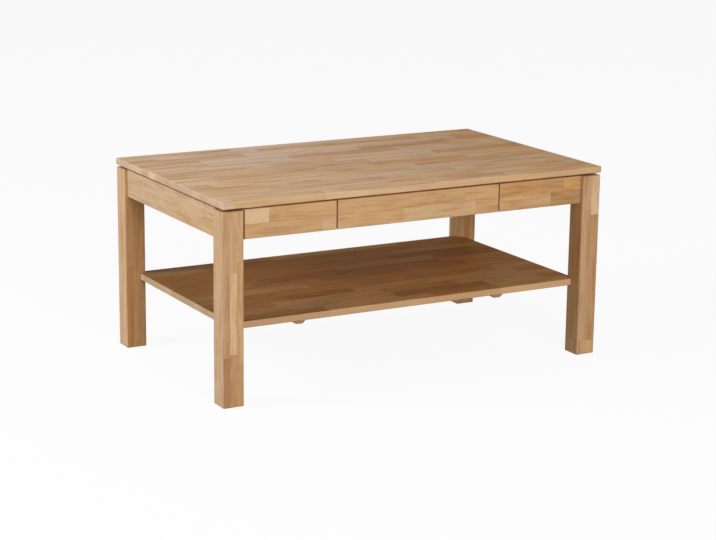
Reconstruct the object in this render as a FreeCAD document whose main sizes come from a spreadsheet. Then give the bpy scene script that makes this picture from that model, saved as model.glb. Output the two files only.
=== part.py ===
"""Coffee table in glued solid hardwood: four square legs, a top floating over a shadow gap,
one drawer between two fixed front panels, and a lower shelf notched round the legs.

Millimetres, +Z up. The origin is on the floor under the middle of the table. The length runs
along X and the drawer opens towards -Y.
"""
import FreeCAD, Part
import os
from types import SimpleNamespace

import Sketcher

# Driving dimensions, in millimetres.
SIZES = {
    # table top
    "top_length": 1000,
    "top_width": 600,
    "top_thickness": 16,
    "top_edge_radius": 3,
    "top_overhang": 1.5,
    "table_height": 465,
    "shadow_gap": 5,
    # legs and their glides
    "leg_side": 50,
    "leg_edge_radius": 2,
    "leg_seat": 8,
    "glide_diameter": 24,
    "glide_thickness": 1.5,
    "glide_pin_diameter": 3,
    "glide_pin_length": 14,
    # aprons and fixed front panels
    "apron_height": 66,
    "apron_thickness": 18,
    "apron_recess": 5.5,
    "apron_edge_radius": 2,
    # corner blocks and hanger bolts
    "block_thickness": 24,
    "block_height": 48,
    "block_drop": 6,
    "bolt_diameter": 8,
    "bolt_in_leg": 34,
    "bolt_tail": 4,
    "bolt_slack": 1,
    "washer_diameter": 20,
    "washer_thickness": 2,
    "nut_width": 14,
    "nut_height": 6.5,
    # cleats that carry the top
    "cleat_width": 18,
    "cleat_height": 25,
    "cleat_end_gap": 12,
    # drawer guides, runners, cross rail and closing stops
    "guide_thickness": 18,
    "guide_relief": 0.5,
    "guide_lift": 2,
    "runner_width": 16,
    "runner_height": 12,
    "runner_front_gap": 1,
    "rail_width": 40,
    "rail_thickness": 14,
    "closing_stop_length": 24,
    "closing_stop_height": 20,
    "closing_gap": 0.3,
    # drawer
    "drawer_front_width": 426.5,
    "drawer_gap": 2.5,
    "drawer_travel": 300,
    "drawer_stop_gap": 0.5,
    "drawer_side_clearance": 1,
    "drawer_running_gap": 0.3,
    "drawer_kicker_gap": 1,
    "drawer_box_length": 420,
    "drawer_side_thickness": 12,
    "drawer_back_thickness": 12,
    "drawer_bottom_thickness": 5,
    "bottom_groove_depth": 5,
    "bottom_groove_lift": 6,
    "bottom_fit_gap": 0.1,
    "stop_block_width": 40,
    "stop_block_height": 34,
    "stop_block_thickness": 10,
    "stop_block_rise": 9,
    "stop_block_spread": 240,
    # lower shelf and its battens
    "shelf_top_height": 186,
    "shelf_thickness": 16,
    "shelf_edge_radius": 2,
    "shelf_end_lap": 14,
    "shelf_side_lap": 17.5,
    "shelf_leg_gap": 2,
    "batten_width": 34,
    "batten_height": 22,
    "batten_bevel": 9,
    "batten_setback": 50,
    "batten_spread": 536,
    # dowels
    "dowel_diameter": 8,
    "dowel_length": 36,
    "dowel_inset": 16,
    "dowel_bevel": 1,
    "dowel_fit": 0.05,
    "dowel_end_room": 0.5,
    "small_dowel_diameter": 6,
    "small_dowel_length": 24,
    "small_dowel_in_face": 10,
    "drawer_dowel_inset": 9,
    "drawer_dowel_pitch": 15,
    # screws
    "screw_diameter": 4,
    "screw_head_diameter": 8,
    "screw_point": 5,
    "screw_fit": 0.05,
    "cleat_screw_length": 30,
    "top_screw_length": 35,
    "runner_screw_length": 30,
    "rail_screw_length": 40,
    "rail_screw_pitch": 22,
    "batten_screw_length": 30,
    "block_screw_length": 26,
    "block_screw_grip": 12,
    "block_screw_pocket": 14,
    "block_screw_pitch": 26,
    "drawer_back_screw_length": 30,
    "drawer_back_screw_pitch": 15,
    "drawer_bottom_screw_length": 16,
    "drawer_bottom_screw_spread": 120,
    "stop_screw_length": 18,
    "stop_screw_pitch": 11,
    "stop_screw_drop": 6,
    "screw_inset": 20,
    "cleat_screw_inset": 50,
}

doc = FreeCAD.newDocument("coffee_table")
sheet = doc.addObject("Spreadsheet::Sheet", "Size")
for row, (alias, number) in enumerate(SIZES.items(), start=1):
    sheet.set(f"A{row}", alias)
    sheet.set(f"B{row}", str(number))
    sheet.setAlias(f"B{row}", alias)
doc.recompute()


class Term:
    """A length written in the sheet's names, to which a piece is bound."""

    def __init__(self, text):
        self.text = str(text)

    def __str__(self):
        return self.text

    def __add__(self, other):
        return Term(f"({self} + {other})")

    def __sub__(self, other):
        return Term(f"({self} - {other})")

    def __mul__(self, other):
        return Term(f"({self} * {other})")

    def __truediv__(self, other):
        return Term(f"({self} / {other})")

    def __neg__(self):
        return Term(f"(0 - {self})")

    @property
    def value(self):
        """The length in millimetres as the sheet stands now."""
        return float(sheet.evalExpression(self.text))


size = SimpleNamespace(**{alias: Term(f"Size.{alias}") for alias in SIZES})
ZERO = Term("0")
ROOT_TWO = Term("sqrt(2)")
SIDES = {"left": -1, "right": 1}
ENDS = {"front": -1, "rear": 1}
CORNERS = [(end, side) for end in ENDS for side in SIDES]
UP = FreeCAD.Vector(0, 0, 1)
FULL_TURN = 360
NUT_SIDES = 6
NEAR = 0.01

# Heights.
top_underside = size.table_height - size.top_thickness
leg_top = top_underside - size.shadow_gap
apron_bottom = leg_top - size.apron_height
block_high = leg_top - size.block_drop
block_low = block_high - size.block_height
block_middle = (block_low + block_high) / 2
cleat_bottom = top_underside - size.cleat_height
shelf_bottom = size.shelf_top_height - size.shelf_thickness
guide_bottom = apron_bottom + size.guide_lift
runner_top = guide_bottom + size.runner_height
rail_bottom = top_underside - size.rail_thickness
dowel_heights = (apron_bottom + size.dowel_inset, leg_top - size.dowel_inset)

# Distances from the table's middle: legs, aprons and shelf.
leg_out_x = size.top_length / 2 - size.top_overhang
leg_out_y = size.top_width / 2 - size.top_overhang
leg_in_x = leg_out_x - size.leg_side
leg_in_y = leg_out_y - size.leg_side
leg_mid_x = leg_out_x - size.leg_side / 2
leg_mid_y = leg_out_y - size.leg_side / 2
apron_out_x = leg_out_x - size.apron_recess
apron_out_y = leg_out_y - size.apron_recess
apron_in_x = apron_out_x - size.apron_thickness
apron_in_y = apron_out_y - size.apron_thickness
apron_mid_x = apron_out_x - size.apron_thickness / 2
apron_mid_y = apron_out_y - size.apron_thickness / 2
shelf_half_x = leg_in_x + size.shelf_end_lap
shelf_half_y = leg_in_y + size.shelf_side_lap
batten_half_y = shelf_half_y - size.batten_setback

# The corner block lies between two lines at 45 degrees, on which x + y is the same all along.
seat_line = leg_in_x + leg_in_y + size.leg_seat
inner_line = seat_line - size.block_thickness * ROOT_TWO
block_end_x = inner_line - apron_in_y
block_end_y = inner_line - apron_in_x

# Distances from the table's middle: drawer and what carries it.
front_half = size.drawer_front_width / 2
panel_start = front_half + size.drawer_gap
guide_in = front_half + size.guide_relief
guide_out = guide_in + size.guide_thickness
guide_mid = guide_in + size.guide_thickness / 2
runner_in = guide_in - size.runner_width
box_half = guide_in - size.drawer_side_clearance
side_in = box_half - size.drawer_side_thickness
box_front = -apron_in_y
box_rear = box_front + size.drawer_box_length
back_front = box_rear - size.drawer_back_thickness
back_mid = box_rear - size.drawer_back_thickness / 2
box_bottom = runner_top + size.drawer_running_gap
box_top = rail_bottom - size.drawer_kicker_gap
panel_low = box_bottom + size.bottom_groove_lift
panel_high = panel_low + size.drawer_bottom_thickness
back_low = panel_high + size.bottom_fit_gap
rail_rear = box_rear - size.drawer_travel - size.drawer_stop_gap
rail_mid = rail_rear - size.rail_width / 2
closing_front = box_rear + size.closing_gap
closing_rear = closing_front + size.closing_stop_length
runner_front = box_front + size.runner_front_gap

nodes = {}


def span(sign, near, far):
    """Low and high limits of a stretch on one side of the middle."""
    return (near, far) if sign > 0 else (-far, -near)


def both(far):
    """Low and high limits of a stretch that is centred on the middle."""
    return (-far, far)


def outline(body, name, plane_role, corners):
    """A closed sketch of straight lines whose corners are bound to the sheet."""
    sketch = body.newObject("Sketcher::SketchObject", name)
    planes = [item for item in body.Origin.OriginFeatures if item.Role == plane_role]
    sketch.AttachmentSupport = [(planes[0], "")]
    sketch.MapMode = "FlatFace"
    places = [FreeCAD.Vector(across.value, along.value, 0) for across, along in corners]
    count = len(corners)
    for index in range(count):
        sketch.addGeometry(Part.LineSegment(places[index], places[(index + 1) % count]), False)
    for index in range(count):
        sketch.addConstraint(Sketcher.Constraint("Coincident", index, 2, (index + 1) % count, 1))
    for index, (corner, place) in enumerate(zip(corners, places)):
        for kind, term, start in (("DistanceX", corner[0], place.x), ("DistanceY", corner[1], place.y)):
            added = sketch.addConstraint(Sketcher.Constraint(kind, -1, 1, index, 1, start))
            sketch.renameConstraint(added, f"{kind}_{index}")
            sketch.setExpression(f"Constraints.{kind}_{index}", str(term))
    return sketch


def prism(name, corners, z):
    """A body with the given plan, standing between two heights. Returns the body and its pad."""
    low, high = z
    body = doc.addObject("PartDesign::Body", f"{name}_stock")
    sketch = outline(body, f"{name}_plan", "XY_Plane", corners)
    pad = body.newObject("PartDesign::Pad", f"{name}_pad")
    pad.Profile = sketch
    pad.setExpression("Length", str(high - low))
    body.setExpression("Placement.Base.z", str(low))
    doc.recompute()
    return body, pad


def board(name, x, y, z):
    """A square-edged board between low and high limits. Returns the body and its pad."""
    corners = [(x[0], y[0]), (x[1], y[0]), (x[1], y[1]), (x[0], y[1])]
    return prism(name, corners, z)


def soften(stock, kind, term, chosen):
    """Rounds or bevels the chosen edges of a board, in place, and returns its body."""
    body, pad = stock
    names = [f"Edge{number}" for number, edge in enumerate(pad.Shape.Edges, start=1) if chosen(edge)]
    dressing = body.newObject(f"PartDesign::{kind}", f"{body.Name}_{kind.lower()}")
    dressing.Base = (pad, names)
    dressing.setExpression("Radius" if kind == "Fillet" else "Size", str(term))
    body.Tip = dressing
    doc.recompute()
    return body


def every(edge):
    """True of all edges."""
    return True


def along(axis):
    """A test for edges that run parallel to an axis."""
    return lambda edge: abs(getattr(edge.tangentAt(edge.FirstParameter), axis)) > 1 - NEAR


def clear_of(axis, term):
    """A test for edges that do not lie in the plane at one place on an axis."""
    place = term.value
    letter = axis.upper()

    def test(edge):
        ends = (getattr(edge.BoundBox, f"{letter}Min"), getattr(edge.BoundBox, f"{letter}Max"))
        return max(abs(end - place) for end in ends) > NEAR

    return test


def low_and_along(axis):
    """A test for the edges of a board's underside that run parallel to an axis."""
    runs = along(axis)
    return lambda edge: runs(edge) and edge.BoundBox.ZMax < NEAR


def finish(name, body, cutters=()):
    """Cuts notches and holes from a body and keeps the result as a node of the table."""
    piece = body
    for number, cutter in enumerate(cutters, start=1):
        last = number == len(cutters)
        cut = doc.addObject("Part::Cut", name if last else f"{name}_cut_{number}")
        cut.Base = piece
        cut.Tool = cutter
        piece = cut
    piece.Label = name
    nodes[name] = piece
    return piece


def turned(name, profile):
    """A round piece about Z, from a half profile of radius and height pairs."""
    body = doc.addObject("PartDesign::Body", name)
    sketch = outline(body, f"{name}_profile", "XZ_Plane", profile)
    turn = body.newObject("PartDesign::Revolution", f"{name}_turn")
    turn.Profile = sketch
    turn.ReferenceAxis = (sketch, ["V_Axis"])
    turn.Angle = FULL_TURN
    doc.recompute()
    return body


def gathered(name, master, places):
    """Copies of one piece, each set at a place and turned from +Z to a direction."""
    copies = []
    for number, (place, direction) in enumerate(places, start=1):
        copy = doc.addObject("App::Link", f"{name}_{number}")
        copy.LinkedObject = master
        aim = FreeCAD.Rotation(UP, FreeCAD.Vector(*direction))
        copy.Placement = FreeCAD.Placement(FreeCAD.Vector(), aim)
        for axis, term in zip("xyz", place):
            copy.setExpression(f"Placement.Base.{axis}", str(term))
        copies.append(copy)
    group = doc.addObject("Part::Compound", name)
    group.Links = copies
    return group


def dowel_profile(diameter, length, fit, room):
    """Half profile of a dowel, or of its hole, centred on its middle."""
    bevel = size.dowel_bevel
    radius = diameter / 2 + fit
    half = length / 2 + room
    return [
        (ZERO, -half),
        (radius - bevel, -half),
        (radius, bevel - half),
        (radius, half - bevel),
        (radius - bevel, half),
        (ZERO, half),
    ]


def dowels(name, diameter, length, places):
    """A group of dowels. Returns their holes."""
    peg = turned(f"{name}_peg", dowel_profile(diameter, length, ZERO, ZERO))
    bore = turned(f"{name}_bore", dowel_profile(diameter, length, size.dowel_fit, size.dowel_end_room))
    nodes[name] = gathered(name, peg, places)
    return gathered(f"{name}_holes", bore, places)


def screw_profile(length, fit, pocket):
    """Half profile of a countersunk screw, or of its hole with a pocket above the head.

    It points towards +Z, with the face of its head at zero.
    """
    shank = size.screw_diameter / 2 + fit
    head = size.screw_head_diameter / 2 + fit
    head_depth = (size.screw_head_diameter - size.screw_diameter) / 2
    rim = [(ZERO, -pocket), (head, -pocket)] if pocket else [(ZERO, ZERO)]
    point = [(shank, length - size.screw_point), (ZERO, length + fit)]
    return rim + [(head, ZERO), (shank, head_depth)] + point


def screws(name, length, places, pocket=size.screw_fit):
    """A group of wood screws. Returns their holes."""
    solid = turned(f"{name}_screw", screw_profile(length, ZERO, None))
    bore = turned(f"{name}_bore", screw_profile(length, size.screw_fit, pocket))
    nodes[name] = gathered(name, solid, places)
    return gathered(f"{name}_holes", bore, places)


def dowel_joints():
    """Dowels of the frame, the drawer guides, the shelf and the drawer front. Returns their holes."""
    frame = []
    guides = []
    shelf = []
    drawer = []
    face_shift = size.small_dowel_length / 2 - size.small_dowel_in_face
    shelf_level = size.shelf_top_height - size.shelf_thickness / 2
    lap_middle = leg_in_y + size.shelf_side_lap / 2
    drawer_level = box_top - size.drawer_dowel_inset
    for side in SIDES.values():
        for end in ENDS.values():
            for level in dowel_heights:
                frame.append(((apron_mid_x * side, leg_in_y * end, level), (0, 1, 0)))
                frame.append(((leg_in_x * side, apron_mid_y * end, level), (1, 0, 0)))
                guides.append(((guide_mid * side, (apron_in_y - face_shift) * end, level), (0, 1, 0)))
            shelf.append(((leg_in_x * side, lap_middle * end, shelf_level), (1, 0, 0)))
        for level in (drawer_level, drawer_level - size.drawer_dowel_pitch):
            middle = (box_half - size.drawer_side_thickness / 2) * side
            drawer.append(((middle, box_front + face_shift, level), (0, 1, 0)))
    return SimpleNamespace(
        frame=dowels("frame_dowels", size.dowel_diameter, size.dowel_length, frame),
        guides=dowels("guide_dowels", size.small_dowel_diameter, size.small_dowel_length, guides),
        shelf=dowels("shelf_dowels", size.dowel_diameter, size.dowel_length, shelf),
        drawer=dowels("drawer_front_dowels", size.small_dowel_diameter, size.small_dowel_length, drawer),
    )


def cleat_screws(cleat_runs):
    """Screws through each cleat into its apron and up into the top. Returns both groups of holes."""
    sideways = []
    upward = []
    level = top_underside - size.cleat_height / 2
    for run in cleat_runs:
        low, high = run.limits
        middle = (low + high) / 2
        upward_places = [low + size.screw_inset, high - size.screw_inset]
        if run.long:
            upward_places.append(middle)
        for place in upward_places:
            upward.append((run.at(place, run.middle, cleat_bottom), (0, 0, 1)))
        for place in (low + size.cleat_screw_inset, high - size.cleat_screw_inset):
            sideways.append((run.at(place, run.face, level), run.direction))
    return (
        screws("cleat_screws", size.cleat_screw_length, sideways),
        screws("top_screws", size.top_screw_length, upward),
    )


def cleat_layout():
    """Where the five cleats run along the aprons and the fixed front panels."""
    near_x = apron_in_x - size.cleat_width
    near_y = apron_in_y - size.cleat_width
    runs = []
    for name, side in SIDES.items():
        runs.append(SimpleNamespace(
            name=f"side_cleat_{name}",
            long=True,
            limits=both(block_end_y - size.cleat_end_gap),
            across=span(side, near_x, apron_in_x),
            middle=(near_x + size.cleat_width / 2) * side,
            face=near_x * side,
            direction=(side, 0, 0),
            at=lambda place, over, level: (over, place, level),
            box=lambda limits, over: (over, limits),
        ))
    ends = [("rear_cleat", 1, both(guide_in - size.cleat_end_gap))]
    for name, side in SIDES.items():
        limits = span(side, guide_out + size.cleat_end_gap, block_end_x - size.cleat_end_gap)
        ends.append((f"front_cleat_{name}", -1, limits))
    for name, end, limits in ends:
        runs.append(SimpleNamespace(
            name=name,
            long=end > 0,
            limits=limits,
            across=span(end, near_y, apron_in_y),
            middle=(near_y + size.cleat_width / 2) * end,
            face=near_y * end,
            direction=(0, end, 0),
            at=lambda place, over, level: (place, over, level),
            box=lambda limits, over: (limits, over),
        ))
    return runs


def make_cleats():
    """The cleats, with their screws. Returns the holes in the aprons and in the top."""
    runs = cleat_layout()
    sideways, upward = cleat_screws(runs)
    for run in runs:
        x, y = run.box(run.limits, run.across)
        body, pad = board(run.name, x, y, (cleat_bottom, top_underside))
        finish(run.name, body, [sideways, upward])
    return sideways, upward


def make_top(screw_holes):
    """The table top, rounded along all its edges and screwed to the cleats from below."""
    stock = board("table_top", both(size.top_length / 2), both(size.top_width / 2),
                  (top_underside, size.table_height))
    finish("table_top", soften(stock, "Fillet", size.top_edge_radius, every), [screw_holes])


def bolt_place(side, end, distance):
    """A point on a hanger bolt's axis, measured from the leg's seat into the leg."""
    step = size.leg_seat / 2 + distance / ROOT_TWO
    return ((leg_in_x + step) * side, (leg_in_y + step) * end, block_middle)


def make_bolts():
    """Hanger bolts with washers and nuts. Returns the bores in the legs and in the corner blocks."""
    radius = size.bolt_diameter / 2
    washer_from = size.block_thickness + size.washer_thickness
    nut_from = washer_from + size.nut_height
    tail_from = nut_from + size.bolt_tail
    length = tail_from + size.bolt_in_leg

    def rod(name, rod_radius, rod_length):
        return turned(name, [(ZERO, ZERO), (rod_radius, ZERO), (rod_radius, rod_length), (ZERO, rod_length)])

    def ring(name, outer, height):
        inner = radius + size.dowel_fit
        return turned(name, [(inner, ZERO), (outer, ZERO), (outer, height), (inner, height)])

    hexagon = doc.addObject("Part::Prism", "bolt_nut_hexagon")
    hexagon.Polygon = NUT_SIDES
    hexagon.setExpression("Circumradius", str(size.nut_width / Term("sqrt(3)")))
    hexagon.setExpression("Height", str(size.nut_height))
    nut = doc.addObject("Part::Cut", "bolt_nut")
    nut.Base = hexagon
    nut.Tool = rod("bolt_nut_bore", radius + size.dowel_fit, size.nut_height)
    doc.recompute()

    def placed(distance):
        return [
            (bolt_place(SIDES[side], ENDS[end], -distance), (SIDES[side], ENDS[end], 0))
            for end, side in CORNERS
        ]

    nodes["hanger_bolts"] = gathered("hanger_bolts", rod("hanger_bolt", radius, length), placed(tail_from))
    washer = ring("bolt_washer", size.washer_diameter / 2, size.washer_thickness)
    nodes["bolt_washers"] = gathered("bolt_washers", washer, placed(washer_from))
    nodes["bolt_nuts"] = gathered("bolt_nuts", nut, placed(nut_from))
    tight = rod("leg_bolt_bore", radius + size.dowel_fit, length + size.dowel_end_room)
    loose = rod("block_bolt_bore", radius + size.bolt_slack / 2, length)
    return (
        gathered("leg_bolt_holes", tight, placed(tail_from)),
        gathered("block_bolt_holes", loose, placed(tail_from)),
    )


def make_corner_blocks(bolt_holes):
    """Diagonal blocks that tie the aprons to each leg. Returns the holes of their screws."""
    places = []
    middle_x = inner_line + size.block_thickness / ROOT_TWO - apron_in_y
    middle_y = inner_line + size.block_thickness / ROOT_TWO - apron_in_x
    half_pitch = size.block_screw_pitch / 2
    for end, side in CORNERS:
        across, along_y = SIDES[side], ENDS[end]
        head_x = apron_in_x - size.block_screw_grip
        head_y = apron_in_y - size.block_screw_grip
        into_side = (head_x * across, middle_y * along_y, block_middle + half_pitch)
        into_end = (middle_x * across, head_y * along_y, block_middle - half_pitch)
        places.append((into_side, (across, 0, 0)))
        places.append((into_end, (0, along_y, 0)))
    holes = screws("block_screws", size.block_screw_length, places, size.block_screw_pocket)
    for end, side in CORNERS:
        name = f"corner_block_{end}_{side}"
        plan = [
            (apron_in_x, seat_line - apron_in_x),
            (seat_line - apron_in_y, apron_in_y),
            (block_end_x, apron_in_y),
            (apron_in_x, block_end_y),
        ]
        corners = [(across * SIDES[side], along_y * ENDS[end]) for across, along_y in plan]
        body, pad = prism(name, corners, (block_low, block_high))
        finish(name, body, [bolt_holes, holes])
    return holes


def make_glides():
    """Nail-in glides under the legs. Returns the holes of their pins."""
    pin = size.glide_pin_diameter / 2
    top = size.glide_thickness + size.glide_pin_length
    profile = [
        (ZERO, ZERO),
        (size.glide_diameter / 2, ZERO),
        (size.glide_diameter / 2, size.glide_thickness),
        (pin, size.glide_thickness),
        (pin, top),
        (ZERO, top),
    ]
    glide = turned("glide", profile)
    room = pin + size.dowel_fit
    bore = turned("glide_bore", [(ZERO, ZERO), (room, ZERO), (room, top), (ZERO, top)])
    places = []
    for end, side in CORNERS:
        place = ((leg_mid_x * SIDES[side], leg_mid_y * ENDS[end], ZERO), (0, 0, 1))
        places.append(place)
        name = f"foot_glide_{end}_{side}"
        nodes[name] = gathered(name, glide, [place])
    return gathered("glide_holes", bore, places)


def make_legs(holes, bolt_holes, glide_holes):
    """Four square legs, each with a flat seat for its corner block on the inner corner."""
    past = size.leg_seat
    for end, side in CORNERS:
        name = f"leg_{end}_{side}"
        across, along_y = SIDES[side], ENDS[end]
        stock = board(name, span(across, leg_in_x, leg_out_x), span(along_y, leg_in_y, leg_out_y),
                      (size.glide_thickness, leg_top))
        plan = [
            (leg_in_x + size.leg_seat + past, leg_in_y - past),
            (leg_in_x - past, leg_in_y + size.leg_seat + past),
            (leg_in_x - past, leg_in_y - past),
        ]
        corners = [(x * across, y * along_y) for x, y in plan]
        seat, pad = prism(f"{name}_seat", corners, (block_low, size.table_height))
        body = soften(stock, "Fillet", size.leg_edge_radius, every)
        finish(name, body, [seat, holes.frame, holes.shelf, bolt_holes, glide_holes])


def make_aprons(holes, block_holes, cleat_holes):
    """Side aprons, rear apron and the two fixed panels beside the drawer."""
    z = (apron_bottom, leg_top)
    for name, side in SIDES.items():
        label = f"side_apron_{name}"
        stock = board(label, span(side, apron_in_x, apron_out_x), both(leg_in_y), z)
        body = soften(stock, "Fillet", size.apron_edge_radius, along("y"))
        finish(label, body, [holes.frame, block_holes, cleat_holes])
        label = f"front_panel_{name}"
        stock = board(label, span(side, panel_start, leg_in_x), span(-1, apron_in_y, apron_out_y), z)
        body = soften(stock, "Fillet", size.apron_edge_radius, clear_of("x", leg_in_x * side))
        finish(label, body, [holes.frame, holes.guides, block_holes, cleat_holes])
    stock = board("rear_apron", both(leg_in_x), span(1, apron_in_y, apron_out_y), z)
    body = soften(stock, "Fillet", size.apron_edge_radius, along("x"))
    finish("rear_apron", body, [holes.frame, holes.guides, block_holes, cleat_holes])


def make_drawer_housing(holes):
    """Guide boards, runners, closing stops and the cross rail that stops the drawer."""
    runner_level = guide_bottom + size.runner_height / 2
    runner_places = []
    stop_places = []
    rail_places = []
    for side in SIDES.values():
        inward = (-side, 0, 0)
        outward = (side, 0, 0)
        for y in (runner_front + size.screw_inset, (runner_front + closing_rear) / 2,
                  closing_rear - size.screw_inset):
            runner_places.append(((runner_in * side, y, runner_level), outward))
        stop_middle = ((closing_front + closing_rear) / 2, runner_top + size.closing_stop_height / 2)
        stop_places.append(((runner_in * side, *stop_middle), outward))
        for shift in (-size.rail_screw_pitch / 2, size.rail_screw_pitch / 2):
            level = rail_bottom + size.rail_thickness / 2
            rail_places.append(((guide_out * side, rail_mid + shift, level), inward))
    runner_holes = screws("runner_screws", size.runner_screw_length, runner_places)
    stop_holes = screws("closing_stop_screws", size.runner_screw_length, stop_places)
    rail_holes = screws("rail_screws", size.rail_screw_length, rail_places)
    for name, side in SIDES.items():
        body, pad = board(f"drawer_guide_{name}", span(side, guide_in, guide_out), both(apron_in_y),
                          (guide_bottom, top_underside))
        finish(f"drawer_guide_{name}", body, [holes.guides, runner_holes, stop_holes, rail_holes])
        body, pad = board(f"drawer_runner_{name}", span(side, runner_in, guide_in),
                          (runner_front, closing_rear), (guide_bottom, runner_top))
        finish(f"drawer_runner_{name}", body, [runner_holes])
        body, pad = board(f"closing_stop_{name}", span(side, runner_in, guide_in),
                          (closing_front, closing_rear), (runner_top, runner_top + size.closing_stop_height))
        finish(f"closing_stop_{name}", body, [stop_holes])
    body, pad = board("cross_rail", both(guide_in), (rail_rear - size.rail_width, rail_rear),
                      (rail_bottom, top_underside))
    finish("cross_rail", body, [rail_holes])


def make_shelf(holes):
    """The lower shelf, notched round the legs, and the two battens that keep it flat."""
    places = []
    screw_half = batten_half_y - size.screw_inset
    for side in SIDES.values():
        for y in (-screw_half, ZERO, screw_half):
            place = (size.batten_spread / 2 * side, y, shelf_bottom - size.batten_height)
            places.append((place, (0, 0, 1)))
    batten_holes = screws("batten_screws", size.batten_screw_length, places)
    shelf_z = (shelf_bottom, size.shelf_top_height)
    notches = []
    for end, side in CORNERS:
        x = span(SIDES[side], leg_in_x - size.shelf_leg_gap, leg_out_x)
        y = span(ENDS[end], leg_in_y - size.shelf_leg_gap, leg_out_y)
        notch, pad = board(f"shelf_notch_{end}_{side}", x, y, shelf_z)
        notches.append(notch)
    stock = board("lower_shelf", both(shelf_half_x), both(shelf_half_y), shelf_z)
    body = soften(stock, "Fillet", size.shelf_edge_radius, every)
    finish("lower_shelf", body, [*notches, holes.shelf, batten_holes])
    for name, side in SIDES.items():
        label = f"shelf_batten_{name}"
        middle = size.batten_spread / 2 * side
        half = size.batten_width / 2
        stock = board(label, (middle - half, middle + half), both(batten_half_y),
                      (shelf_bottom - size.batten_height, shelf_bottom))
        body = soften(stock, "Chamfer", size.batten_bevel, low_and_along("y"))
        finish(label, body, [batten_holes])


def drawer_screws():
    """Screws of the drawer's back, bottom and stop blocks. Returns their holes."""
    back = []
    bottom = []
    stops = []
    back_level = (back_low + box_top) / 2
    stop_rear = box_rear + size.stop_block_thickness
    stop_level = box_top - size.stop_screw_drop
    for side in SIDES.values():
        for shift in (-size.drawer_back_screw_pitch / 2, size.drawer_back_screw_pitch / 2):
            back.append(((box_half * side, back_mid, back_level + shift), (-side, 0, 0)))
        for level in (stop_level, stop_level - size.stop_screw_pitch):
            stops.append(((size.stop_block_spread / 2 * side, stop_rear, level), (0, -1, 0)))
        bottom.append(((size.drawer_bottom_screw_spread / 2 * side, back_mid, panel_low), (0, 0, 1)))
    return SimpleNamespace(
        back=screws("drawer_back_screws", size.drawer_back_screw_length, back),
        bottom=screws("drawer_bottom_screws", size.drawer_bottom_screw_length, bottom),
        stops=screws("stop_block_screws", size.stop_screw_length, stops),
    )


def make_drawer(holes):
    """The drawer: front, two sides, back, a bottom that slides in under the back, and two stop blocks."""
    fixings = drawer_screws()
    depth = size.bottom_groove_depth
    gap = size.bottom_fit_gap
    groove, pad = board("drawer_groove", both(side_in + depth), (box_front - depth, box_rear + depth),
                        (panel_low - gap, panel_high + gap))
    stock = board("drawer_front", both(front_half), (-apron_out_y, box_front), (apron_bottom, leg_top))
    body = soften(stock, "Fillet", size.apron_edge_radius, every)
    finish("drawer_front", body, [groove, holes.drawer])
    for name, side in SIDES.items():
        body, pad = board(f"drawer_side_{name}", span(side, side_in, box_half), (box_front, box_rear),
                          (box_bottom, box_top))
        finish(f"drawer_side_{name}", body, [groove, holes.drawer, fixings.back])
    body, pad = board("drawer_back", both(side_in), (back_front, box_rear), (back_low, box_top))
    finish("drawer_back", body, [fixings.back, fixings.bottom, fixings.stops])
    body, pad = board("drawer_bottom", both(side_in + depth - gap), (box_front - depth + gap, box_rear),
                      (panel_low, panel_high))
    finish("drawer_bottom", body, [fixings.bottom])
    stop_top = box_top + size.stop_block_rise
    for name, side in SIDES.items():
        middle = size.stop_block_spread / 2 * side
        half = size.stop_block_width / 2
        body, pad = board(f"drawer_stop_{name}", (middle - half, middle + half),
                          (box_rear, box_rear + size.stop_block_thickness),
                          (stop_top - size.stop_block_height, stop_top))
        finish(f"drawer_stop_{name}", body, [fixings.stops])


def build():
    """Makes every piece of the table."""
    holes = dowel_joints()
    cleat_holes, top_holes = make_cleats()
    leg_bolt_holes, block_bolt_holes = make_bolts()
    block_holes = make_corner_blocks(block_bolt_holes)
    glide_holes = make_glides()
    make_top(top_holes)
    make_legs(holes, leg_bolt_holes, glide_holes)
    make_aprons(holes, block_holes, cleat_holes)
    make_drawer_housing(holes)
    make_shelf(holes)
    make_drawer(holes)
    doc.recompute()


def check_and_write():
    """Stops if any object failed, then writes each node's shape."""
    for item in doc.Objects:
        if "Invalid" in item.State or "Error" in item.State:
            raise RuntimeError(f"{item.Name} failed to build: {item.State}")
    for name, piece in nodes.items():
        shape = piece.Shape
        if shape.isNull() or not shape.isValid() or not shape.Solids:
            raise RuntimeError(f"{name} is not a valid solid")
    os.makedirs("parts", exist_ok=True)
    for name, piece in nodes.items():
        piece.Shape.exportStep(f"parts/{name}.step")
        print(f"{name}: {len(piece.Shape.Solids)} solids, {piece.Shape.Volume / 1000:.1f} cm3")


build()
check_and_write()
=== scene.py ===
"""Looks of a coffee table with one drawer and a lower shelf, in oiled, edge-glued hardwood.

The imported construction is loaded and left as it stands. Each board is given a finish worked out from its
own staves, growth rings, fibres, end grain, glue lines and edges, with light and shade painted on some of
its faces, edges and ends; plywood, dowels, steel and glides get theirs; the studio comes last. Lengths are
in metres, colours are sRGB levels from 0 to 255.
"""

import logging
import math
from abc import ABC, abstractmethod
from dataclasses import dataclass, replace
from enum import Enum

import bpy
from mathutils import Matrix, Vector


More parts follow.
